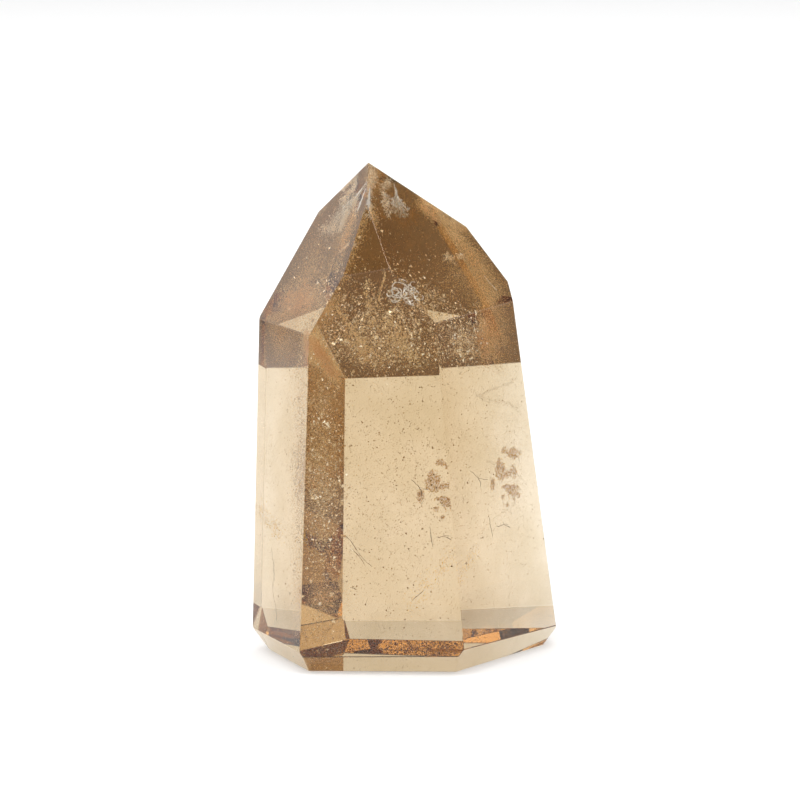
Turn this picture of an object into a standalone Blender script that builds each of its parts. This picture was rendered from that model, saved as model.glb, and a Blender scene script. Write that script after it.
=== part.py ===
"""Citrine crystal point: one clear quartz crystal, sawn flat at its foot and polished all over.

A six-sided prism tapers up to a six-faced pyramid whose tip stands off centre. A narrow bevel runs
round the foot, one facet under each prism face, and every edge is softened by a fine chamfer.

The solid is made as a lapidary makes it. A block is cut back by one plane for each face, and then by
one plane for each edge. The crystal is a single piece, so it is one object.

Run it with: blender --background --python part.py
Metres, +Z up. The origin is the middle of the bounding box's underside, on the sawn foot.
"""

import math
from typing import NamedTuple

import bmesh
import bpy
from mathutils import Matrix, Vector

MM = 0.001

NODE_NAME = "crystal_point"


class PrismFace(NamedTuple):
    """An upright face. It crosses the foot's plane at reach from the prism's axis."""

    azimuth: float  # degrees, the way it looks from above: 0 is the front (-Y), 90 the right (+X)
    lean: float  # degrees its outward normal tips up from level, which is the taper
    reach: float  # metres


class PointFace(NamedTuple):
    """A face of the pyramid. It crosses the pyramid's own upright axis at peak."""

    azimuth: float
    tilt: float  # degrees its outward normal tips up from level
    peak: float  # metres above the foot


class FootBevel(NamedTuple):
    """The bevel below a prism face. It meets the middle of that face at height."""

    turn: float  # degrees it is turned from the prism face's azimuth
    dip: float  # degrees its outward normal points below level
    height: float  # metres above the foot


# The prism's six faces, front face first and then round to the right. Polishing has moved them a
# little from the 60 degrees between the faces of a raw crystal.
PRISM_FACES = {
    "front": PrismFace(-1.8, 0.2, 16.8 * MM),
    "right": PrismFace(51.8, 4.2, 18.5 * MM),
    "right_back": PrismFace(100.3, 8.2, 27.4 * MM),
    "back": PrismFace(174.7, 0.0, 25.0 * MM),
    "left_back": PrismFace(-125.0, 0.7, 24.4 * MM),
    "left": PrismFace(-64.8, 1.8, 24.2 * MM),
}

# The pyramid's six faces. Their common axis stands behind and to the left of the prism's.
POINT_AXIS = Vector((-6.0 * MM, 2.0 * MM, 0.0))
POINT_FACES = {
    "front": PointFace(-6.7, 27.2, 106.7 * MM),
    "right": PointFace(50.4, 33.2, 92.9 * MM),
    "right_back": PointFace(110.0, 34.2, 99.5 * MM),
    "back": PointFace(176.7, 35.9, 80.3 * MM),
    "left_back": PointFace(-110.6, 27.8, 97.3 * MM),
    "left": PointFace(-65.2, 26.8, 94.9 * MM),
}

# The bevel facets round the foot, each under the prism face of the same name.
FOOT_BEVELS = {
    "front": FootBevel(0.5, 37.3, 3.3 * MM),
    "right": FootBevel(-1.3, 30.0, 4.4 * MM),
    "right_back": FootBevel(0.0, 34.4, 3.2 * MM),
    "back": FootBevel(-1.0, 40.9, 3.3 * MM),
    "left_back": FootBevel(1.1, 37.3, 3.8 * MM),
    "left": FootBevel(0.4, 31.3, 3.8 * MM),
}

EDGE_SOFTENING = 0.03 * MM  # how deep polishing has worn each edge, measured square to the chamfer

BLOCK_SIDE = 240.0 * MM  # the rough block, larger than the crystal on every side
SAME_POINT = 0.001 * MM  # corners closer than this are one corner
SHORTEST_EDGE = 0.05 * MM  # an edge shorter than this is left without a chamfer

CITRINE_COLOUR = (0.80, 0.62, 0.36, 1.0)
CITRINE_ROUGHNESS = 0.03
QUARTZ_IOR = 1.55


def outward(azimuth, elevation):
    """The unit vector that looks towards azimuth and is raised by elevation, both in degrees."""
    turn = math.radians(azimuth)
    rise = math.radians(elevation)
    level = math.cos(rise)
    return Vector((math.sin(turn) * level, -math.cos(turn) * level, math.sin(rise)))


def level_direction(azimuth):
    """The level unit vector towards azimuth, in degrees."""
    return outward(azimuth, 0.0)


def prism_plane(face):
    """A point on the prism face and its outward normal."""
    return level_direction(face.azimuth) * face.reach, outward(face.azimuth, face.lean)


def point_plane(face):
    """A point on the pyramid face and its outward normal."""
    return POINT_AXIS + Vector((0.0, 0.0, face.peak)), outward(face.azimuth, face.tilt)


def bevel_plane(bevel, face):
    """A point on the foot bevel and its outward normal, for the prism face above it."""
    reach_there = face.reach - bevel.height * math.tan(math.radians(face.lean))
    on_face = level_direction(face.azimuth) * reach_there + Vector((0.0, 0.0, bevel.height))
    return on_face, outward(face.azimuth + bevel.turn, -bevel.dip)


def facet_planes():
    """Every plane that bounds the crystal, apart from the chamfers."""
    planes = [prism_plane(face) for face in PRISM_FACES.values()]
    planes += [point_plane(face) for face in POINT_FACES.values()]
    planes += [bevel_plane(FOOT_BEVELS[name], face) for name, face in PRISM_FACES.items()]
    planes.append((Vector((0.0, 0.0, 0.0)), Vector((0.0, 0.0, -1.0))))
    return planes


def cut(bm, point, normal):
    """Cuts away what lies on the outer side of a plane, and closes the cut with one flat face."""
    everything = bm.verts[:] + bm.edges[:] + bm.faces[:]
    bmesh.ops.bisect_plane(
        bm, geom=everything, dist=SAME_POINT, plane_co=point, plane_no=normal, clear_outer=True
    )
    rim = [edge for edge in bm.edges if edge.is_boundary]
    if rim:
        bmesh.ops.contextual_create(bm, geom=rim)
    bmesh.ops.remove_doubles(bm, verts=bm.verts[:], dist=SAME_POINT)


def chamfer_planes(bm):
    """The plane that softens each edge: square to the bisector of its two faces, a little way in."""
    bm.normal_update()
    planes = []
    for edge in bm.edges:
        if edge.calc_length() < SHORTEST_EDGE:
            continue
        first, second = edge.link_faces
        normal = (first.normal + second.normal).normalized()
        middle = (edge.verts[0].co + edge.verts[1].co) / 2.0
        planes.append((middle - normal * EDGE_SOFTENING, normal))
    return planes


def cut_crystal():
    """The crystal as a bmesh, cut from the block and set with its origin at the middle of its foot."""
    bm = bmesh.new()
    bmesh.ops.create_cube(bm, size=BLOCK_SIDE)
    for point, normal in facet_planes():
        cut(bm, point, normal)
    for point, normal in chamfer_planes(bm):
        cut(bm, point, normal)
    bmesh.ops.recalc_face_normals(bm, faces=bm.faces[:])

    low = Vector([min(vert.co[axis] for vert in bm.verts) for axis in range(3)])
    high = Vector([max(vert.co[axis] for vert in bm.verts) for axis in range(3)])
    foot = Vector(((low.x + high.x) / 2.0, (low.y + high.y) / 2.0, low.z))
    bmesh.ops.transform(bm, matrix=Matrix.Translation(-foot), verts=bm.verts[:])
    return bm


def citrine_material():
    """Clear golden quartz."""
    material = bpy.data.materials.new("citrine")
    material.use_nodes = True
    shader = material.node_tree.nodes["Principled BSDF"]
    shader.inputs["Base Color"].default_value = CITRINE_COLOUR
    shader.inputs["Roughness"].default_value = CITRINE_ROUGHNESS
    shader.inputs["Metallic"].default_value = 0.0
    shader.inputs["IOR"].default_value = QUARTZ_IOR
    shader.inputs["Transmission Weight"].default_value = 1.0
    return material


def clear_scene():
    """Removes the objects of the file that the script starts in."""
    for obj in list(bpy.data.objects):
        bpy.data.objects.remove(obj, do_unlink=True)


def main():
    clear_scene()
    bm = cut_crystal()
    mesh = bpy.data.meshes.new(NODE_NAME)
    bm.to_mesh(mesh)
    bm.free()
    crystal = bpy.data.objects.new(NODE_NAME, mesh)
    crystal.data.materials.append(citrine_material())
    bpy.context.scene.collection.objects.link(crystal)


main()
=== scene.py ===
"""Looks of the citrine crystal point: clear golden quartz on a pale studio floor.

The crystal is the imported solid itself, given a see-through material. What is caught inside it
(golden flecks, hazes, smoky trails, feathers, a curled tangle, an iron stain, cracks, hairs and
specks) is made here, as small meshes that stay under its faces. Metres, +Z up, in the frame of the
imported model: the front is -Y and the origin is the middle of the foot.
"""

import math
from typing import NamedTuple

import bpy
import numpy as np
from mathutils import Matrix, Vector, noise


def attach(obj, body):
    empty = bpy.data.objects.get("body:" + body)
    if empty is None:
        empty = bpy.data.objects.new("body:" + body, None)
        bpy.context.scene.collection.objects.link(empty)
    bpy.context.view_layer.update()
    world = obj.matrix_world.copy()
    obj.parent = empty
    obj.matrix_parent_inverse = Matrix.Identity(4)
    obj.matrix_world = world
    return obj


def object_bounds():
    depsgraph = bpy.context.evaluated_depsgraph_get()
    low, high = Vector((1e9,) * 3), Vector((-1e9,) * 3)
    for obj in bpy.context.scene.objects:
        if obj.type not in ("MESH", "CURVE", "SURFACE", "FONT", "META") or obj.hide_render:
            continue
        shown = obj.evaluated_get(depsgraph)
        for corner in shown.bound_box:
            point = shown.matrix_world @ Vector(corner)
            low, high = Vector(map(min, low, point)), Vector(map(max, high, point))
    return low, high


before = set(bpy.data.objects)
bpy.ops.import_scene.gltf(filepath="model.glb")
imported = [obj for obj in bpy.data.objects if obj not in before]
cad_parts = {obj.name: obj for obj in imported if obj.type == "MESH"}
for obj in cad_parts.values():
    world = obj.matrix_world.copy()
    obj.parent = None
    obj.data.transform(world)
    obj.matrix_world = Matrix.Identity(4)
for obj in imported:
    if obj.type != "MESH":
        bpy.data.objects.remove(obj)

MM = 0.001
CAD_BOX = [list(corner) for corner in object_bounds()]
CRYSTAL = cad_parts["crystal_point"]

WHITE = (1.0, 1.0, 1.0)
BLACK = (0.0, 0.0, 0.0)

# ---------------------------------------------------------------- camera and studio

# The camera looks a little down on the front face.
CAMERA_DISTANCE = 700.0 * MM
CAMERA_ELEVATION = 10.66  # degrees
CAMERA_AIM = Vector((-0.82, -4.54, 45.69)) * MM
CAMERA_RANGE = (0.01, 20.0)  # metres, the nearest and the farthest that it sees
SENSOR_WIDTH = 36.0  # millimetres
VIEW_WIDTH_AT_AIM = 141.2 * MM  # what the picture's width spans at the aim's distance

# White walls all round, a dim ceiling, and softboxes that add to them. A brightness of 1 just
# shows as white.
WALL_BRIGHTNESS = 1.06
CEILING_BRIGHTNESS = 0.16
WALL_TOP = 22.0  # degrees above level where the walls begin to fade
CEILING_START = 32.0  # and where they have faded to the ceiling


class Softbox(NamedTuple):
    """A softbox: where it stands, seen from the crystal, in degrees and metres."""

    azimuth: float  # 0 is the front, 90 the right
    elevation: float
    distance: float
    width: float
    height: float
    brightness: float


SOFTBOXES = {
    "overhead": Softbox(180.0, 80.0, 1.5, 2.2, 2.0, 2.3),
    "right": Softbox(55.0, 50.0, 1.8, 1.5, 1.3, 1.5),
    "front": Softbox(-6.0, 32.0, 1.6, 0.92, 0.50, 2.8),
    "left": Softbox(-68.0, 50.0, 1.8, 1.4, 1.4, 1.6),
}

# The crystal stands on a white acrylic sheet with a soft light under it. Far out at the sides and in
# front the
# sheet turns grey: painted shade in its colour where less light falls, and a weaker glow. Lengths are
# in metres.
FLOOR_SIDE = 8.0
FLOOR_GAP = 0.1 * MM  # the foot is polished, but it doesn't touch the floor everywhere
FLOOR_ALBEDO = 0.65
FLOOR_GLOW = 0.285
FLOOR_SHADE_LEVEL = 0.35  # how bright the painted grey shade is beside the white
SHADE_IN_FRONT = (-0.24, -0.13)  # y where the painted shade is full and where the sheet is white
SHADE_AT_SIDES = (0.40, 0.22)  # and the same for how far it is to either side

# Light is turned back many times inside the stone before it comes out again.
INNER_BOUNCES = 40
DIFFUSE_BOUNCES = 6
TRANSPARENT_BOUNCES = 16

# ---------------------------------------------------------------- looks

QUARTZ_IOR = 1.55
ABSORPTION = (11.0, 17.3, 28.6)  # of red, green and blue, per metre
DENSITY_MARGIN = 1.25  # the volume's density over its strongest absorption

# The stone is clearer in some patches than in others, and so is its polish.
TINT_PATCHES = 110.0  # per metre
CLOUDIER_TINT = (0.87, 0.84, 0.76)
POLISH_PATCHES = 260.0  # per metre
DULLEST_POLISH = (0.012, 0.012, 0.012)  # roughness
DULL_FROM, DULL_TO = 0.45, 0.75  # the noise values between which the polish turns dull


class GrainLook(NamedTuple):
    """Grains whose colour drifts between pale and deep in patches. Lengths are in mm."""

    pale: tuple
    deep: tuple
    metallic: float
    roughness: float
    patch: float  # the usual size of a patch


GRAIN_LOOKS = {
    "golden_grain": GrainLook((1.0, 0.96, 0.84), (1.0, 0.88, 0.66), 0.85, 0.25, 0.5),
    "golden_haze": GrainLook((1.0, 0.80, 0.48), (0.96, 0.68, 0.34), 0.0, 0.6, 4.0),
    "amber_haze": GrainLook((1.0, 0.76, 0.42), (0.98, 0.64, 0.28), 0.0, 0.6, 4.0),
    "milky_grain": GrainLook((1.0, 0.94, 0.82), (0.98, 0.80, 0.58), 0.0, 0.6, 3.0),
    "white_flaw": GrainLook(WHITE, (1.0, 0.98, 0.94), 0.0, 0.4, 2.0),
    "silvery_flaw": GrainLook(WHITE, (1.0, 0.98, 0.94), 0.6, 0.3, 2.0),
    "iron_stain": GrainLook((1.0, 0.76, 0.12), (0.95, 0.60, 0.06), 0.7, 0.3, 0.8),
    "brown_grain": GrainLook((0.60, 0.40, 0.20), (0.30, 0.18, 0.08), 0.0, 0.6, 0.4),
    "dark_grain": GrainLook((0.30, 0.18, 0.09), (0.12, 0.07, 0.04), 0.0, 0.6, 5.0),
}

# ---------------------------------------------------------------- what the stone holds

KEEP_UNDER = 0.15 * MM  # the least depth of a grain under the crystal's faces
FINEST_GRAIN = 0.035  # mm, half the size of the golden grains that lie all through the stone

NOISE_SHAPE = (1.0, 2.0, 3)  # how fast its octaves fade, how much finer each is, how many
CLOUD_SCATTER = 0.6  # how far a cloud's grains stray, as a share of its radii
CLOUD_PATCH = 3.5 * MM  # the usual size of the denser patches in a cloud
TRAIL_SCATTER = 0.5  # how far a trail's grains stray from its curve, as a share of its thickness
TRAIL_PATCH = 1.3  # the usual size of its denser patches, as a share of its thickness
TRAIL_STRETCH = 1.6  # how much its grains are drawn out along it
TRAIL_DISORDER = 0.5  # and how far they turn away from it


class Cloud(NamedTuple):
    """Grains that thin out from a centre. Lengths are in mm."""

    centre: tuple
    radii: tuple
    count: int
    grain: float  # half the size of a usual grain, or half the width of a streak


class Drift(NamedTuple):
    """A smoky trail of grains round a curve. Lengths are in mm."""

    thickness: float
    count: int
    grain: float  # half the size of a usual grain
    start: tuple
    start_pull: tuple  # the curve leaves its start towards this point
    end_pull: tuple  # and comes to its end from this one
    end: tuple


class Feather(NamedTuple):
    """Streaks that fan out from a root in the plane of a healed crack. Lengths are in mm."""

    root: tuple
    tip: tuple
    facing: tuple  # the normal of the crack's plane
    half_angle: float  # degrees
    count: int
    width: float  # half the width of a streak


class Curls(NamedTuple):
    """Loose arcs of fine grains. Lengths are in mm."""

    centre: tuple
    radii: tuple
    count: int
    bend: float  # the usual radius of an arc
    grain: float  # half the size of a usual grain


# Golden flecks: behind the front shoulder, up and to the right of it, down the left of the front,
# in the upper left of the stone, and two small bright knots in the right face of the point.
FLECKS = (
    Cloud((-4.0, -12.0, 60.5), (8.5, 6.0, 6.5), 4600, 0.085),
    Cloud((-5.0, -13.0, 57.0), (9.0, 5.0, 3.0), 1500, 0.09),
    Cloud((3.0, -10.0, 63.0), (5.0, 5.0, 3.0), 350, 0.09),
    Cloud((9.5, -11.0, 57.5), (3.5, 4.0, 4.0), 1600, 0.095),
    Cloud((-14.0, -14.0, 34.0), (3.5, 5.0, 24.0), 3600, 0.09),
    Cloud((-15.0, -15.0, 35.0), (3.0, 3.0, 5.0), 700, 0.10),
    Cloud((-14.0, -8.0, 66.0), (6.0, 7.0, 9.0), 900, 0.08),
    Cloud((5.6, -1.9, 69.0), (1.2, 0.5, 0.8), 240, 0.13),
    Cloud((8.2, -0.5, 69.2), (1.6, 0.5, 0.4), 120, 0.12),
)

# Hazes of grains too fine to be seen one by one.
GOLDEN_HAZE = (
    Cloud((-4.0, -12.0, 58.5), (9.0, 6.0, 6.0), 9000, 0.035),
    Cloud((9.0, -11.0, 57.0), (4.5, 5.0, 4.0), 3500, 0.035),
    Cloud((-14.5, -14.0, 36.0), (3.0, 4.0, 24.0), 24000, 0.04),
    Cloud((-15.0, -15.0, 35.0), (3.0, 3.0, 5.0), 5000, 0.04),
)
AMBER_HAZE_LEFT = (
    Cloud((-16.0, -7.0, 68.0), (4.0, 6.0, 11.0), 30000, 0.03),
    Cloud((-19.0, -5.0, 57.0), (4.0, 6.0, 4.0), 13000, 0.03),
    Cloud((-14.0, -16.0, 13.0), (3.0, 3.0, 3.6), 9000, 0.03),
)
AMBER_HAZE_RIGHT = (
    Cloud((13.0, -2.0, 64.0), (3.5, 4.0, 8.0), 22000, 0.028),
    Cloud((14.5, -4.0, 56.0), (2.5, 4.0, 4.0), 9000, 0.028),
    Cloud((8.0, -4.0, 66.0), (4.0, 4.0, 4.0), 5000, 0.028),
)
MILKY_HAZE = (
    Cloud((-11.0, -7.5, 77.5), (2.5, 3.0, 3.5), 8000, 0.035),
    Cloud((15.0, 2.0, 32.0), (6.0, 5.0, 18.0), 10000, 0.035),
    Cloud((-20.0, 2.0, 30.0), (3.0, 6.0, 20.0), 6000, 0.035),
)

# Two broad trails among the flecks, and three threads beside and above them.
GOLDEN_DRIFTS = (
    Drift(2.4, 2400, 0.045,
          (-4.0, -16.0, 62.0), (1.0, -15.0, 60.0), (-2.0, -14.0, 56.0), (3.0, -14.0, 54.5)),
    Drift(2.0, 2000, 0.045,
          (-10.0, -16.0, 61.0), (-7.0, -15.0, 58.0), (-8.0, -15.0, 55.5), (-3.0, -15.0, 54.5)),
    Drift(0.3, 500, 0.05,
          (-12.0, -18.0, 65.0), (-10.0, -18.0, 62.0), (-9.0, -18.0, 60.5), (-7.5, -18.0, 58.5)),
    Drift(0.7, 500, 0.05,
          (-6.0, -16.0, 69.0), (-8.0, -16.0, 66.0), (-4.0, -16.0, 63.0), (-6.0, -16.0, 61.0)),
    Drift(0.25, 320, 0.05,
          (-3.6, -18.0, 71.0), (-2.8, -18.0, 69.5), (-4.8, -18.0, 68.0), (-4.4, -18.0, 65.5)),
)

# Three trails in the left of the stone, and three in the right of it.
AMBER_DRIFTS = (
    Drift(1.3, 14000, 0.032,
          (-16.0, -17.0, 59.0), (-15.0, -17.0, 57.0), (-13.5, -17.0, 54.5), (-11.5, -17.0, 52.0)),
    Drift(1.8, 5000, 0.03,
          (-7.6, -10.5, 79.0), (-8.6, -12.0, 76.0), (-9.6, -13.4, 73.0), (-11.0, -14.4, 69.5)),
    Drift(3.2, 20000, 0.03,
          (-20.0, -2.0, 62.6), (-18.0, -6.0, 63.0), (-15.0, -10.0, 64.0), (-13.0, -13.4, 64.8)),
    Drift(2.0, 6000, 0.03,
          (11.6, -7.0, 60.0), (12.0, -7.0, 58.0), (12.4, -7.0, 56.0), (12.8, -7.0, 53.0)),
    Drift(1.4, 4500, 0.03,
          (2.0, -3.6, 80.2), (3.0, -3.0, 79.0), (4.2, -2.0, 77.6), (5.4, -1.0, 76.0)),
    Drift(2.2, 7000, 0.03,
          (6.0, -0.6, 75.0), (8.0, 0.2, 73.4), (10.4, 0.4, 70.6), (13.0, -1.0, 66.4)),
)

# Five trails in the left of the point, four long swirls down the right of the stone, and a thread
# at the right shoulder.
MILKY_DRIFTS = (
    Drift(1.2, 1600, 0.05,
          (-7.4, -5.5, 83.4), (-8.5, -5.6, 82.9), (-9.0, -5.0, 81.5), (-9.6, -4.5, 80.0)),
    Drift(0.8, 900, 0.05,
          (-6.2, -3.2, 81.6), (-5.8, -4.0, 80.4), (-5.4, -4.6, 79.0), (-5.2, -6.6, 77.0)),
    Drift(0.7, 3200, 0.05,
          (-8.6, -7.5, 79.0), (-9.1, -8.1, 78.0), (-9.6, -8.5, 77.0), (-10.0, -8.8, 76.0)),
    Drift(0.25, 600, 0.06,
          (-10.0, -13.0, 72.8), (-9.3, -13.4, 73.4), (-8.8, -13.7, 73.9), (-8.3, -14.0, 74.2)),
    Drift(1.2, 1200, 0.05,
          (-13.0, -1.0, 74.5), (-12.0, -2.0, 75.0), (-11.0, -4.0, 75.2), (-10.0, -5.4, 75.2)),
    Drift(0.5, 1500, 0.022,
          (9.0, -9.0, 49.0), (12.0, -7.0, 45.5), (16.0, -5.0, 46.0), (19.5, -3.0, 44.0)),
    Drift(0.4, 1200, 0.022,
          (10.0, -8.0, 46.5), (14.0, -6.0, 49.0), (17.0, -4.0, 47.5), (19.0, -2.0, 49.5)),
    Drift(0.4, 1200, 0.022,
          (12.0, -7.0, 36.0), (15.0, -6.0, 33.0), (18.0, -4.0, 34.0), (21.0, -2.0, 30.0)),
    Drift(0.4, 1200, 0.022,
          (10.0, -9.0, 22.0), (13.0, -7.0, 26.0), (17.0, -5.0, 25.0), (20.0, -3.0, 29.0)),
    Drift(0.12, 260, 0.05,
          (13.6, -3.6, 67.3), (14.2, -3.7, 66.6), (14.9, -3.8, 65.8), (15.8, -3.9, 65.0)),
)

# A stained trail low in the left of the stone, and one low in the middle.
BROWN_DRIFTS = (
    Drift(1.8, 2200, 0.04,
          (-22.3, 8.0, 25.5), (-21.0, 5.0, 24.0), (-19.0, 1.0, 22.5), (-16.8, -3.9, 21.5)),
    Drift(1.6, 900, 0.035,
          (1.0, -9.0, 10.0), (3.0, -8.0, 13.0), (6.0, -9.0, 16.0), (9.0, -7.0, 20.0)),
)

# Three fans on one healed crack behind the tip, and one just left of the tip.
TIP_CRACK = (0.05, 0.81, 0.59)
FEATHERS = (
    Feather((-2.6, -5.0, 83.2), (-4.4, 0.0, 76.4), TIP_CRACK, 4.0, 80, 0.17),
    Feather((-3.2, -2.9, 80.6), (-4.9, 0.6, 74.6), TIP_CRACK, 26.0, 190, 0.12),
    Feather((-4.0, -2.0, 80.4), (-8.0, -1.6, 76.4), TIP_CRACK, 26.0, 50, 0.09),
    Feather((-6.3, -11.4, 84.0), (-7.4, -12.4, 80.2), (0.4, -0.7, 0.5), 9.0, 90, 0.13),
)
FEATHER_LAYER = 0.25  # mm, how thick the layer is in which the streaks lie
FEATHER_STREAKS = (0.15, 0.7)  # mm, the shortest and the longest half length of a streak

# A tangle of bright threads just under the front face of the point.
WHITE_CURLS = (
    Curls((-1.8, -18.0, 67.8), (1.0, 0.4, 1.4), 9, 1.0, 0.06),
    Curls((0.8, -18.0, 66.8), (0.9, 0.4, 0.9), 9, 0.8, 0.06),
    Curls((0.6, -18.0, 65.7), (1.8, 0.4, 0.2), 7, 0.8, 0.055),
)
CURL_BENDS = (0.4, 1.3)  # the tightest and the widest arc, as shares of the usual radius
CURL_SWEEPS = (70.0, 250.0)  # degrees that an arc goes round
CURL_SPACING = 0.9  # from grain to grain, in half sizes of a grain
CURL_STRETCH = 2.0  # how much the grains are drawn out along the arc

PALE_STREAKS = Cloud((-14.0, -7.0, 64.0), (8.0, 7.0, 11.0), 500, 0.06)
HAIR_COUNT = 800
HAIR_WIDTH = 0.028  # mm, half the width of a hair
SPECKS_IN_FRONT = Cloud((0.0, -12.0, 32.0), (16.0, 6.0, 18.0), 7000, 0.04)
SPECK_COUNT = 4500  # the other specks, which lie all through the stone

# The iron stain, seen along Y: the x and z of each lobe, and its half width and half height, in mm.
IRON_LOBES = (
    (5.5, 28.8, 1.6, 2.4),
    (7.0, 32.4, 1.2, 0.7),
    (7.6, 28.0, 1.1, 0.8),
    (7.2, 25.5, 1.4, 0.9),
    (3.4, 26.3, 0.8, 1.2),
    (6.1, 24.0, 0.6, 0.6),
    (7.3, 22.6, 0.5, 0.5),
    (9.6, 32.0, 1.8, 1.2),
    (9.3, 28.6, 1.3, 1.4),
    (9.3, 25.0, 1.8, 1.9),
)
IRON_ACROSS, IRON_UP = (1.5, 11.5), (21.0, 34.5)  # mm, the field that all the lobes lie in
IRON_DEPTH = (0.4, 0.9)  # mm, how far the stain lies inside the back face
IRON_PATCH = 0.8 * MM  # the usual size of the bites in its ragged edge
IRON_COUNT = 19000
IRON_GRAIN = 0.045  # mm, half the size of a usual grain

# Hairline cracks: where each starts and ends, and how far it wanders, in mm.
CRACKS = (
    ((-10.3, -9.0, 23.2), (-8.1, -9.1, 20.2), 0.2),
    ((-8.1, -9.1, 20.2), (-5.6, -9.2, 17.5), 0.3),
    ((-9.0, -9.0, 20.6), (-6.8, -9.2, 17.6), 0.2),
    ((-9.5, -9.0, 13.8), (-8.2, -9.1, 13.4), 0.1),
    ((-20.2, -4.4, 16.9), (-20.5, -4.2, 11.4), 0.3),
    ((-20.5, -4.2, 11.4), (-19.6, -6.2, 6.0), 0.3),
    ((-20.8, -3.6, 19.0), (-19.9, -4.6, 13.0), 0.3),
    ((4.9, 12.4, 21.8), (5.5, 12.9, 17.8), 0.3),
    ((7.4, 15.2, 20.2), (8.9, 17.1, 18.6), 0.3),
    ((6.0, 14.0, 19.6), (8.6, 16.4, 19.4), 0.4),
    ((1.4, 9.1, 30.8), (4.7, 13.0, 28.4), 0.4),
    ((2.6, 10.6, 29.8), (3.4, 11.2, 27.4), 0.2),
    ((3.7, -9.5, 13.5), (1.4, -9.5, 11.4), 0.2),
)
CRACK_WIDTH = 0.13  # mm, where it is widest
CRACK_RAGGED = (0.35, 1.0)  # its least and its greatest width, as shares of CRACK_WIDTH
CRACK_ENDS = 0.2  # how far it narrows at both ends
CRACK_POINTS = 2.5  # points in each mm of its length
CRACK_POINTS_LEAST = 6
CRACK_FACING = (0.0, 1.0, 0.25)  # each crack's strip lies flat to this direction

# The two forms of a grain: a pointed shard and a smaller, simpler chip.
SHARD = (
    np.array([(1, 0, 0), (-1, 0, 0), (0, 1, 0), (0, -1, 0), (0, 0, 1), (0, 0, -1)], dtype=float),
    np.array(
        [(0, 2, 4), (2, 1, 4), (1, 3, 4), (3, 0, 4), (2, 0, 5), (1, 2, 5), (3, 1, 5), (0, 3, 5)]
    ),
)
CHIP = (
    np.array([(1, 1, 1), (1, -1, -1), (-1, 1, -1), (-1, -1, 1)], dtype=float),
    np.array([(0, 1, 2), (0, 2, 3), (0, 3, 1), (1, 3, 2)]),
)


# ---------------------------------------------------------------- the crystal's inside


def face_planes():
    """The outward normals of the crystal's faces, and how far along its normal each face lies."""
    to_world = CRYSTAL.matrix_world
    turn = to_world.to_3x3()
    polygons = CRYSTAL.data.polygons
    normals = np.array([(turn @ face.normal).normalized() for face in polygons])
    centres = np.array([to_world @ face.center for face in polygons])
    return normals, (normals * centres).sum(axis=1)


FACE_NORMALS, FACE_OFFSETS = face_planes()


def depth_under_faces(places):
    """How deep each place lies under the nearest face, in metres. Outside it is negative."""
    return (FACE_OFFSETS - places @ FACE_NORMALS.T).min(axis=1)


def push_to_face(places, direction):
    """Moves places inside the crystal along direction, each until it meets a face."""
    speed = FACE_NORMALS @ direction
    ahead = speed > 1e-6  # the faces that the places move towards
    reach = (FACE_OFFSETS[ahead] - places @ FACE_NORMALS[ahead].T) / speed[ahead]
    return places + reach.min(axis=1)[:, None] * direction


# ---------------------------------------------------------------- grains


def add_piece(name, corners, faces, material):
    """Makes a mesh inside the crystal that goes where the crystal goes."""
    mesh = bpy.data.meshes.new(name)
    mesh.from_pydata(corners.tolist(), [], faces.tolist())
    mesh.materials.append(material)
    piece = bpy.data.objects.new(name, mesh)
    bpy.context.scene.collection.objects.link(piece)
    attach(piece, "root")


def add_grains(name, form, grains, material):
    """A piece of many grains, without those that would reach a face of the crystal.

    grains holds, in metres, the place of each, its three half sizes and its three axes.
    """
    local_corners, local_faces = form
    places, half_sizes, axes = grains
    local = local_corners[None] * half_sizes[:, None, :]
    corners = places[:, None] + np.einsum("nkc,ncd->nkd", local, axes)
    depths = depth_under_faces(corners.reshape(-1, 3)).reshape(len(places), -1)
    corners = corners[depths.min(axis=1) > KEEP_UNDER]
    firsts = np.arange(len(corners))[:, None, None] * len(local_corners)
    faces = local_faces[None] + firsts
    add_piece(name, corners.reshape(-1, 3), faces.reshape(-1, 3), material)


def join(groups):
    """One set of places, sizes and axes out of several."""
    return [np.concatenate(parts) for parts in zip(*groups)]


def unit_rows(vectors):
    """The vectors, each scaled to a length of 1."""
    return vectors / np.linalg.norm(vectors, axis=1, keepdims=True)


def random_axes(rng, count):
    """One random orthonormal frame for each grain."""
    return np.linalg.qr(rng.normal(size=(count, 3, 3)))[0]


def axes_along(rng, directions):
    """Frames whose first axis follows directions, turned at random about it."""
    along = unit_rows(directions)
    across = unit_rows(np.cross(along, rng.normal(size=along.shape)))
    return np.stack([along, across, np.cross(along, across)], axis=1)


def grain_sizes(rng, count, usual, spread=0.4, flatness=0.5):
    """Half sizes of grains: most are near the usual one, in mm, and a few are much larger."""
    size = usual * MM * np.exp(rng.normal(size=count) * spread)
    return np.stack([size, size * rng.uniform(0.5, 1.0, count), size * flatness], axis=1)


def streak_sizes(rng, count, shortest, longest, width):
    """Half sizes of long thin grains, out of half lengths and a half width in mm."""
    return np.stack(
        [
            rng.uniform(shortest, longest, count) * MM,
            rng.uniform(0.5, 1.0, count) * width * MM,
            np.full(count, 0.4 * width * MM),
        ],
        axis=1,
    )


def clumps(places, size, seed):
    """A smooth random value from 0 to 1 at each place, with patches about size across.

    The seed moves the places to a part of the noise that is its own.
    """
    shift = Vector((seed * 7.3, seed * 3.1, seed * 5.7))
    values = [noise.fractal(Vector(place) / size + shift, *NOISE_SHAPE) for place in places]
    return np.clip(0.5 + 0.55 * np.array(values), 0.0, 1.0)


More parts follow.
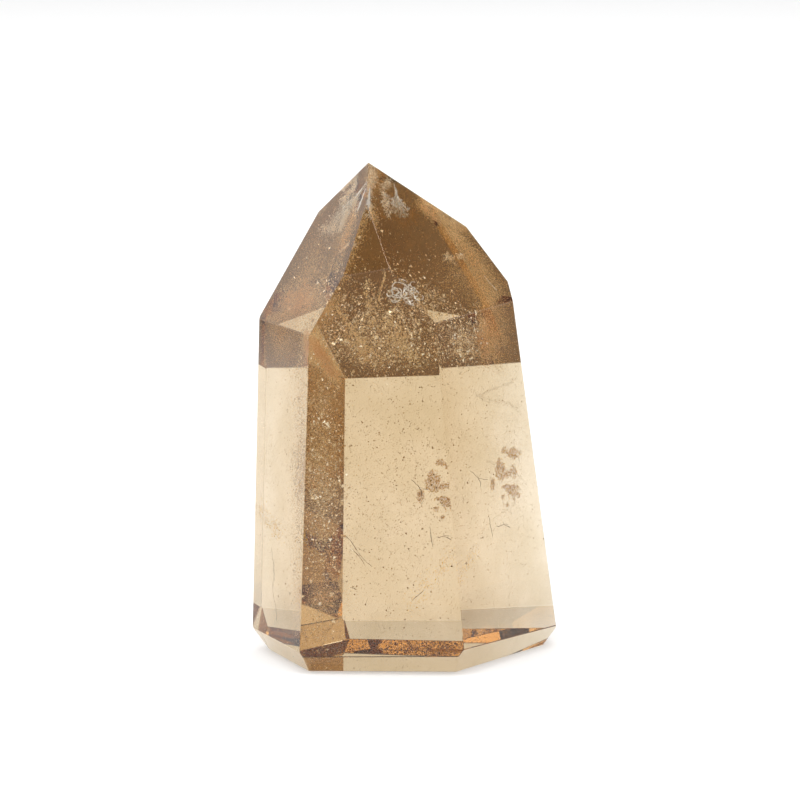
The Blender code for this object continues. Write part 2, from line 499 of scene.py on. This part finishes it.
def thinned(rng, patches, patchy, least, gain, sharpness):
    """Which grains stay, when they thin out between the denser patches.

    patches is what clumps gives for them. least of them stay where it is 0, and least + gain where
    it is 1. patchy, from 0 to 1, is how far all this is followed. At 0 every grain stays.
    """
    density = least + gain * patches**sharpness
    return rng.random(len(patches)) < 1.0 - patchy + patchy * density


def in_cloud(rng, cloud, patchy=1.0):
    """Places in a cloud. Its count also seeds its patches."""
    centre, radii = np.array(cloud.centre) * MM, np.array(cloud.radii) * MM
    places = centre + rng.normal(size=(cloud.count, 3)) * radii * CLOUD_SCATTER
    patches = clumps(places, CLOUD_PATCH, cloud.count)
    return places[thinned(rng, patches, patchy, least=0.25, gain=1.2, sharpness=1.5)]


def in_crystal(rng, count):
    """Places spread evenly through the whole crystal, which fills over a third of its box."""
    low, high = np.array(CAD_BOX)
    places = rng.uniform(low, high, size=(count * 3, 3))
    return places[depth_under_faces(places) > KEEP_UNDER][:count]


def along_curve(trail, fractions):
    """Places and directions on a trail's curve, which is a Bezier curve."""
    first, second, third, last = (
        np.array(point) * MM for point in (trail.start, trail.start_pull, trail.end_pull, trail.end)
    )
    t = fractions[:, None]
    u = 1 - t
    places = first * u**3 + 3 * second * t * u**2 + 3 * third * t**2 * u + last * t**3
    directions = (second - first) * u**2 + 2 * (third - second) * t * u + (last - third) * t**2
    return places, directions


# ---------------------------------------------------------------- the pieces inside


def clouds(name, group, material, seed, thin=0, patchy=1.0, spread=0.4):
    """Clouds of grains, and as many as thin says of the finest, all through the stone."""
    rng = np.random.default_rng(seed)
    groups = []
    for cloud in group:
        places = in_cloud(rng, cloud, patchy)
        sizes = grain_sizes(rng, len(places), cloud.grain, spread)
        groups.append((places, sizes, random_axes(rng, len(places))))
    if thin:
        places = in_crystal(rng, thin)
        sizes = grain_sizes(rng, len(places), FINEST_GRAIN)
        groups.append((places, sizes, random_axes(rng, len(places))))
    add_grains(name, CHIP, join(groups), material)


def drifts(name, group, material, seed, patchy=1.0):
    """Trails of fine, slightly drawn-out grains that follow their curves."""
    rng = np.random.default_rng(seed)
    groups = []
    for trail in group:
        places, directions = along_curve(trail, rng.random(trail.count))
        places += rng.normal(size=places.shape) * trail.thickness * TRAIL_SCATTER * MM
        patches = clumps(places, TRAIL_PATCH * trail.thickness * MM, seed)
        kept = thinned(rng, patches, patchy, least=0.1, gain=1.7, sharpness=2)
        places, directions = places[kept], directions[kept]
        sizes = grain_sizes(rng, len(places), trail.grain)
        sizes[:, 0] *= TRAIL_STRETCH
        turned = unit_rows(directions) + TRAIL_DISORDER * rng.normal(size=places.shape)
        groups.append((places, sizes, axes_along(rng, turned)))
    add_grains(name, CHIP, join(groups), material)


def feathers(material, seed):
    """Fine bright streaks that fan out from a root, most of them near the middle of the fan.

    Its end is rounded, and somewhat more of them lie towards it than near the root.
    """
    rng = np.random.default_rng(seed)
    groups = []
    for feather in FEATHERS:
        root, tip, normal = map(np.array, (feather.root, feather.tip, feather.facing))
        normal = normal / np.linalg.norm(normal)
        length = np.linalg.norm(tip - root)
        spine = (tip - root) / length
        across = np.cross(normal, spine)

        aside = np.clip(0.5 * rng.normal(size=feather.count), -1.0, 1.0)
        angle = math.radians(feather.half_angle) * aside
        heading = np.cos(angle)[:, None] * spine + np.sin(angle)[:, None] * across
        out = rng.random(feather.count) ** 0.8 * (1.0 - 0.25 * np.abs(aside)) * length
        depth = rng.uniform(-FEATHER_LAYER, 0.0, (feather.count, 1))
        places = root + heading * out[:, None] + normal * depth
        heading = heading + 0.1 * rng.normal(size=heading.shape)
        sizes = streak_sizes(rng, feather.count, *FEATHER_STREAKS, feather.width)
        groups.append((places * MM, sizes, axes_along(rng, heading)))
    add_grains("feathers", SHARD, join(groups), material)


def curls(name, group, material, seed):
    """Arcs of grains that face the front, each turned and bent in its own way."""
    rng = np.random.default_rng(seed)
    groups = []
    for cluster in group:
        for _ in range(cluster.count):
            centre = np.array(cluster.centre) + rng.normal(size=3) * cluster.radii * CLOUD_SCATTER
            bend = cluster.bend * rng.uniform(*CURL_BENDS)
            start, sweep = rng.uniform(0.0, math.tau), math.radians(rng.uniform(*CURL_SWEEPS))
            count = round(bend * sweep / (CURL_SPACING * cluster.grain))
            turn = start + sweep * rng.random(count)
            # The arc's own right and up are tilted a little, and it is lower than it is wide.
            right = np.array((1.0, 0.3 * rng.normal(), 0.3 * rng.normal()))
            up = np.array((0.0, 0.3 * rng.normal(), rng.uniform(0.5, 1.0)))
            places = centre + bend * (np.cos(turn)[:, None] * right + np.sin(turn)[:, None] * up)
            heading = np.cos(turn)[:, None] * up - np.sin(turn)[:, None] * right
            sizes = grain_sizes(rng, len(places), cluster.grain)
            sizes[:, 0] *= CURL_STRETCH
            groups.append((places * MM, sizes, axes_along(rng, heading)))
    add_grains(name, CHIP, join(groups), material)


def needles(name, material, rng, places, width, half_lengths, lie, disorder):
    """Thin straight grains that lie along one direction, give or take their disorder.

    width is half the usual width. It and the range of half_lengths are in mm.
    """
    heading = np.array(lie) + disorder * rng.normal(size=places.shape)
    sizes = streak_sizes(rng, len(places), *half_lengths, width)
    add_grains(name, SHARD, (places, sizes, axes_along(rng, heading)), material)


def streaks(material, seed):
    """Short pale streaks in the upper left of the stone, mostly upright."""
    rng = np.random.default_rng(seed)
    places, width = in_cloud(rng, PALE_STREAKS), PALE_STREAKS.grain
    lie = (0.2, 0.1, 1.0)
    needles("pale_streaks", material, rng, places, width, (0.08, 0.3), lie, disorder=0.3)


def hairs(material, seed):
    """Very fine straight needles through the whole stone."""
    rng = np.random.default_rng(seed)
    places = in_crystal(rng, HAIR_COUNT)
    lie = (0.35, 0.0, 1.0)
    needles("hairs", material, rng, places, HAIR_WIDTH, (0.2, 0.9), lie, disorder=0.6)


def specks(material, seed):
    """Tiny brown mineral grains, thinly spread."""
    rng = np.random.default_rng(seed)
    in_front = in_cloud(rng, SPECKS_IN_FRONT)
    places = np.concatenate([in_crystal(rng, SPECK_COUNT), in_front])
    sizes = grain_sizes(rng, len(places), SPECKS_IN_FRONT.grain, spread=0.5, flatness=0.7)
    add_grains("brown_specks", CHIP, (places, sizes, random_axes(rng, len(places))), material)


def iron_veil(material, seed):
    """The rusty stain on a healed crack just inside the back face, in ragged lobes."""
    rng = np.random.default_rng(seed)
    x, z = rng.uniform(*IRON_ACROSS, IRON_COUNT), rng.uniform(*IRON_UP, IRON_COUNT)
    # inside is 1 in the middle of a lobe, 0 on its rim and negative beyond it.
    inside = np.max(
        [1.0 - ((x - cx) / rx) ** 2 - ((z - cz) / rz) ** 2 for cx, cz, rx, rz in IRON_LOBES], axis=0
    )
    places = np.stack([x, np.zeros(IRON_COUNT), z], axis=1) * MM
    ragged = 1.5 * (clumps(places, IRON_PATCH, seed=5) - 0.5)
    stained = inside + ragged > 0.15 + 0.3 * rng.random(IRON_COUNT)
    back = np.array((0.0, 1.0, 0.0))
    places = push_to_face(places[stained], back)
    places -= back * rng.uniform(*IRON_DEPTH, len(places))[:, None] * MM
    sizes = grain_sizes(rng, len(places), IRON_GRAIN, spread=0.3, flatness=0.6)
    add_grains("iron_veil", CHIP, (places, sizes, random_axes(rng, len(places))), material)


def ribbon(points, width, rng):
    """Corners and faces of a thin flat strip through points, ragged in its width."""
    side = unit_rows(np.cross(np.gradient(points, axis=0), CRACK_FACING))
    half = 0.5 * width * rng.uniform(*CRACK_RAGGED, len(points))[:, None]
    half[[0, -1]] *= CRACK_ENDS
    corners = np.concatenate([points - side * half, points + side * half])
    count = len(points)
    return corners, np.array([(i, i + 1, count + i + 1, count + i) for i in range(count - 1)])


def cracks(material, seed):
    """Thin dark hairline cracks."""
    rng = np.random.default_rng(seed)
    all_corners, all_faces, total = [], [], 0
    for start, end, wander in CRACKS:
        steps = max(CRACK_POINTS_LEAST, round(CRACK_POINTS * math.dist(start, end)))
        t = np.linspace(0.0, 1.0, steps)[:, None]
        points = np.array(start) * (1 - t) + np.array(end) * t
        kinks = np.cumsum(rng.normal(size=points.shape), axis=0) * wander / math.sqrt(steps)
        points = points + kinks * np.sin(t * math.pi)
        corners, faces = ribbon(points * MM, CRACK_WIDTH * MM, rng)
        all_corners.append(corners)
        all_faces.append(faces + total)
        total += len(corners)
    add_piece("hairline_cracks", np.concatenate(all_corners), np.concatenate(all_faces), material)


# ---------------------------------------------------------------- materials


def nodes_of(material):
    """Turns a material's nodes on and gives its tree and its Principled shader."""
    material.use_nodes = True
    tree = material.node_tree
    return tree, tree.nodes["Principled BSDF"]


def add_noise(tree, scale, detail):
    """A noise texture laid in the object's own coordinates, with scale in cycles per metre."""
    place = tree.nodes.new("ShaderNodeTexCoord")
    texture = tree.nodes.new("ShaderNodeTexNoise")
    texture.inputs["Scale"].default_value = scale
    texture.inputs["Detail"].default_value = detail
    tree.links.new(place.outputs["Object"], texture.inputs["Vector"])
    return texture


def add_ramp(tree, texture, low, high, low_at=0.35, high_at=0.65):
    """A colour ramp over a noise texture, from low to high."""
    ramp = tree.nodes.new("ShaderNodeValToRGB")
    start, end = ramp.color_ramp.elements
    start.position, start.color = low_at, (*low, 1.0)
    end.position, end.color = high_at, (*high, 1.0)
    tree.links.new(texture.outputs["Fac"], ramp.inputs["Fac"])
    return ramp


def grain_material(name, look):
    """One of the looks of the grains."""
    material = bpy.data.materials.new(name)
    tree, shader = nodes_of(material)
    patches = add_noise(tree, 1.0 / (look.patch * MM), detail=3.0)
    ramp = add_ramp(tree, patches, look.deep, look.pale)
    tree.links.new(ramp.outputs["Color"], shader.inputs["Base Color"])
    shader.inputs["Metallic"].default_value = look.metallic
    shader.inputs["Roughness"].default_value = look.roughness
    return material


def citrine_material():
    """Polished quartz: see-through, golden with depth, and with the faintest haze on its polish."""
    material = bpy.data.materials.new("citrine")
    tree, shader = nodes_of(material)
    shader.inputs["IOR"].default_value = QUARTZ_IOR
    shader.inputs["Transmission Weight"].default_value = 1.0

    tint = add_ramp(tree, add_noise(tree, TINT_PATCHES, detail=6.0), CLOUDIER_TINT, WHITE)
    tree.links.new(tint.outputs["Color"], shader.inputs["Base Color"])
    patches = add_noise(tree, POLISH_PATCHES, detail=6.0)
    polish = add_ramp(tree, patches, BLACK, DULLEST_POLISH, DULL_FROM, DULL_TO)
    tree.links.new(polish.outputs["Color"], shader.inputs["Roughness"])

    volume = tree.nodes.new("ShaderNodeVolumeAbsorption")
    density = max(ABSORPTION) * DENSITY_MARGIN
    volume.inputs["Density"].default_value = density
    volume.inputs["Color"].default_value = (*(1.0 - a / density for a in ABSORPTION), 1.0)
    tree.links.new(volume.outputs["Volume"], tree.nodes["Material Output"].inputs["Volume"])
    return material


# ---------------------------------------------------------------- studio


def direction_to(azimuth, elevation):
    """The unit vector towards azimuth, 0 at the front and 90 at the right, and elevation."""
    turn, rise = math.radians(azimuth), math.radians(elevation)
    return Vector((math.sin(turn) * math.cos(rise), -math.cos(turn) * math.cos(rise), math.sin(rise)))


def make_camera():
    """The camera, in front of the crystal."""
    data = bpy.data.cameras.new("camera")
    data.sensor_width = SENSOR_WIDTH
    data.lens = SENSOR_WIDTH * CAMERA_DISTANCE / VIEW_WIDTH_AT_AIM
    data.clip_start, data.clip_end = CAMERA_RANGE
    towards_camera = direction_to(0.0, CAMERA_ELEVATION)
    camera = bpy.data.objects.new("camera", data)
    camera.location = CAMERA_AIM + towards_camera * CAMERA_DISTANCE
    camera.rotation_euler = (-towards_camera).to_track_quat("-Z", "Y").to_euler()
    bpy.context.scene.collection.objects.link(camera)
    bpy.context.scene.camera = camera


def make_softboxes():
    """Large soft lights round the crystal, each turned to it."""
    for name, box in SOFTBOXES.items():
        light = bpy.data.lights.new(name, "AREA")
        light.shape = "RECTANGLE"
        light.size, light.size_y = box.width, box.height
        light.energy = box.brightness * math.pi * box.width * box.height
        towards = direction_to(box.azimuth, box.elevation)
        lamp = bpy.data.objects.new(name, light)
        lamp.location = towards * box.distance
        lamp.rotation_euler = towards.to_track_quat("Z", "Y").to_euler()
        bpy.context.scene.collection.objects.link(lamp)


def graded(tree, value, low, high, low_result=0.0, high_result=1.0):
    """A smooth step of value, from low_result at low to high_result at high."""
    step = tree.nodes.new("ShaderNodeMapRange")
    step.interpolation_type = "SMOOTHSTEP"
    step.inputs["From Min"].default_value, step.inputs["From Max"].default_value = low, high
    step.inputs["To Min"].default_value = low_result
    step.inputs["To Max"].default_value = high_result
    tree.links.new(value, step.inputs["Value"])
    return step.outputs["Result"]


def maths(tree, operation, *values):
    """The result of a maths node whose inputs are outputs of other nodes."""
    node = tree.nodes.new("ShaderNodeMath")
    node.operation = operation
    for value, socket in zip(values, node.inputs):
        tree.links.new(value, socket)
    return node.outputs["Value"]


def separated(tree, coordinates):
    """The x, y and z of one of the coordinates that a texture can be laid in."""
    parts = tree.nodes.new("ShaderNodeSeparateXYZ")
    source = tree.nodes.new("ShaderNodeTexCoord")
    tree.links.new(source.outputs[coordinates], parts.inputs["Vector"])
    return parts.outputs


def make_world():
    """White walls all round that fade to a dim ceiling."""
    world = bpy.data.worlds.new("studio")
    world.use_nodes = True
    tree = world.node_tree
    background = tree.nodes["Background"]
    background.inputs["Color"].default_value = (*WHITE, 1.0)
    height = separated(tree, "Generated")["Z"]
    fade = (math.sin(math.radians(angle)) for angle in (WALL_TOP, CEILING_START))
    strength = graded(tree, height, *fade, WALL_BRIGHTNESS, CEILING_BRIGHTNESS)
    tree.links.new(strength, background.inputs["Strength"])
    bpy.context.scene.world = world


def make_floor():
    """The glowing white sheet, with painted shade that turns it grey in front and at the sides."""
    half = FLOOR_SIDE / 2.0
    outline = ((-half, -half), (half, -half), (half, half), (-half, half))
    mesh = bpy.data.meshes.new("floor")
    mesh.from_pydata([(x, y, -FLOOR_GAP) for x, y in outline], [], [(0, 1, 2, 3)])
    material = bpy.data.materials.new("floor")
    tree, shader = nodes_of(material)
    shader.inputs["Roughness"].default_value = 1.0
    shader.inputs["Specular IOR Level"].default_value = 0.0
    shader.inputs["Emission Color"].default_value = (*WHITE, 1.0)

    # Painted shade: the sheet's colour and its glow both fall to grey in front and at the sides,
    # where less light would fall.
    place = separated(tree, "Object")
    behind = graded(tree, place["Y"], *SHADE_IN_FRONT)
    between = graded(tree, maths(tree, "ABSOLUTE", place["X"]), *SHADE_AT_SIDES)
    unshaded = maths(tree, "MULTIPLY", behind, between)
    for socket, full in (("Base Color", FLOOR_ALBEDO), ("Emission Strength", FLOOR_GLOW)):
        tree.links.new(graded(tree, unshaded, 0.0, 1.0, full * FLOOR_SHADE_LEVEL, full), shader.inputs[socket])

    mesh.materials.append(material)
    floor = bpy.data.objects.new("floor", mesh)
    bpy.context.scene.collection.objects.link(floor)


def set_light_paths():
    """Lets light be turned back often enough inside the stone, and keeps white white."""
    scene = bpy.context.scene
    scene.view_settings.view_transform = "Standard"
    scene.cycles.max_bounces = INNER_BOUNCES
    scene.cycles.glossy_bounces = INNER_BOUNCES
    scene.cycles.transmission_bounces = INNER_BOUNCES
    scene.cycles.transparent_max_bounces = TRANSPARENT_BOUNCES
    scene.cycles.diffuse_bounces = DIFFUSE_BOUNCES


# ---------------------------------------------------------------- the stone


def fill_crystal():
    """Everything that is caught inside the stone. Each piece has a seed of its own."""
    looks = {name: grain_material(name, look) for name, look in GRAIN_LOOKS.items()}
    haze, amber, milk = looks["golden_haze"], looks["amber_haze"], looks["milky_grain"]
    rust, brown = looks["iron_stain"], looks["brown_grain"]

    clouds("golden_flecks", FLECKS, looks["golden_grain"], seed=11, thin=1200, spread=0.5)
    clouds("golden_haze", GOLDEN_HAZE, haze, seed=13)
    clouds("amber_haze_left", AMBER_HAZE_LEFT, amber, seed=19, patchy=0.3)
    clouds("amber_haze_right", AMBER_HAZE_RIGHT, amber, seed=71, patchy=0.3)
    clouds("milky_haze", MILKY_HAZE, milk, seed=17)
    drifts("golden_drifts", GOLDEN_DRIFTS, haze, seed=41)
    drifts("amber_drifts", AMBER_DRIFTS, amber, seed=67, patchy=0.3)
    drifts("milky_drifts", MILKY_DRIFTS, milk, seed=43)
    drifts("brown_drifts", BROWN_DRIFTS, rust, seed=59)
    feathers(looks["white_flaw"], seed=3)
    curls("white_curls", WHITE_CURLS, looks["silvery_flaw"], seed=47)
    streaks(milk, seed=29)
    hairs(brown, seed=31)
    specks(brown, seed=37)
    iron_veil(rust, seed=23)
    cracks(looks["dark_grain"], seed=53)


def main():
    """Sets up the studio, and then makes the stone in it."""
    set_light_paths()
    make_camera()
    make_world()
    make_softboxes()
    make_floor()
    CRYSTAL.data.materials.clear()
    CRYSTAL.data.materials.append(citrine_material())
    fill_crystal()


main()
